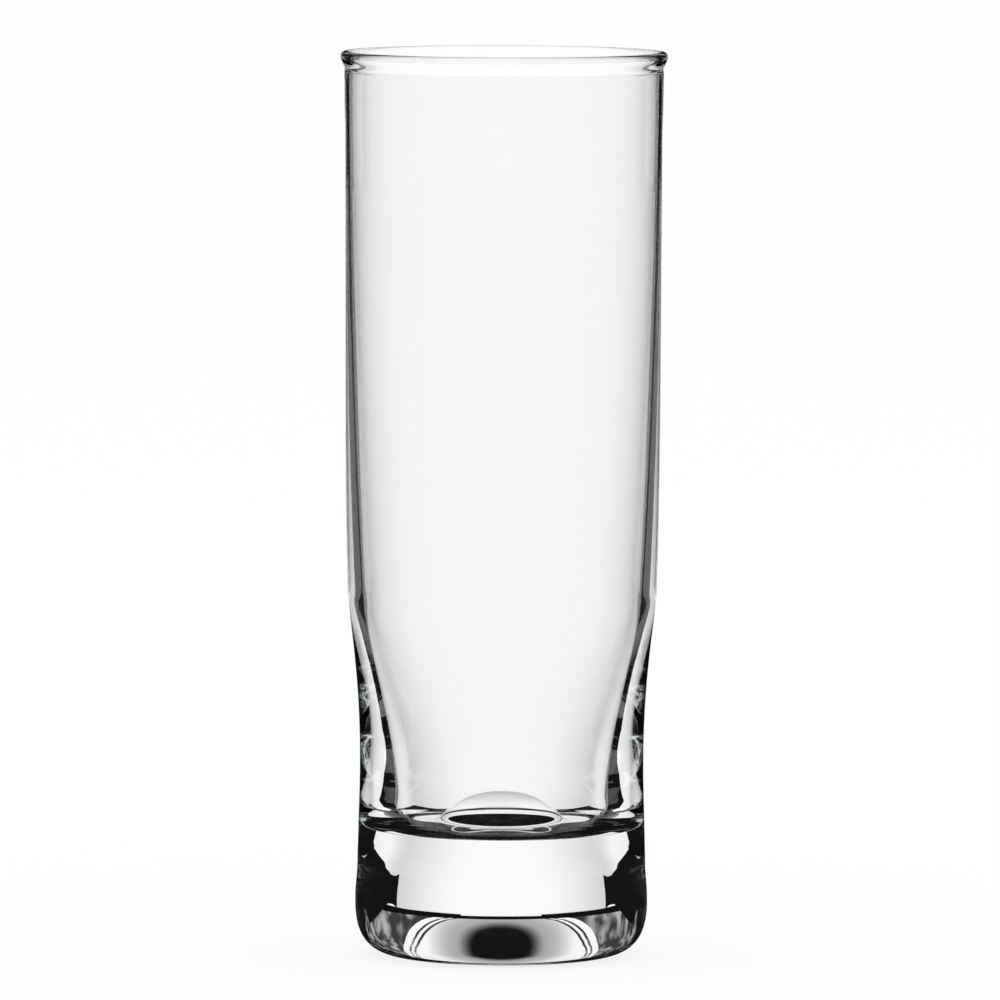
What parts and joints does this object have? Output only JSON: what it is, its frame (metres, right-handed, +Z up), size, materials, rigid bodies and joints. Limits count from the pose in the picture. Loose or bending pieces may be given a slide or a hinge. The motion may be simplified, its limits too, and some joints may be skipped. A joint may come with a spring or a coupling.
{
  "type": "tumbler",
  "caption": "Tall straight drinking tumbler of clear glass with a beaded rim, a drawn-in waist, a narrow inner well with a raised floor and a heavy solid base.",
  "frame": {"origin": "centre of the ring the glass stands on, on the table plane", "axes": "+Z up the axis of the glass, towards the rim; the glass is turned, so X and Y are free"},
  "size_m": [0.06, 0.06, 0.1665],
  "materials": {
    "clear_glass": "fire-polished clear soda-lime glass with a faint grey-green body"
  },
  "bodies": {
    "root": {"rim_bead": "clear_glass", "side_wall": "clear_glass", "waist_wall": "clear_glass", "sham_base": "clear_glass", "foot": "clear_glass"}
  },
  "joints": []
}
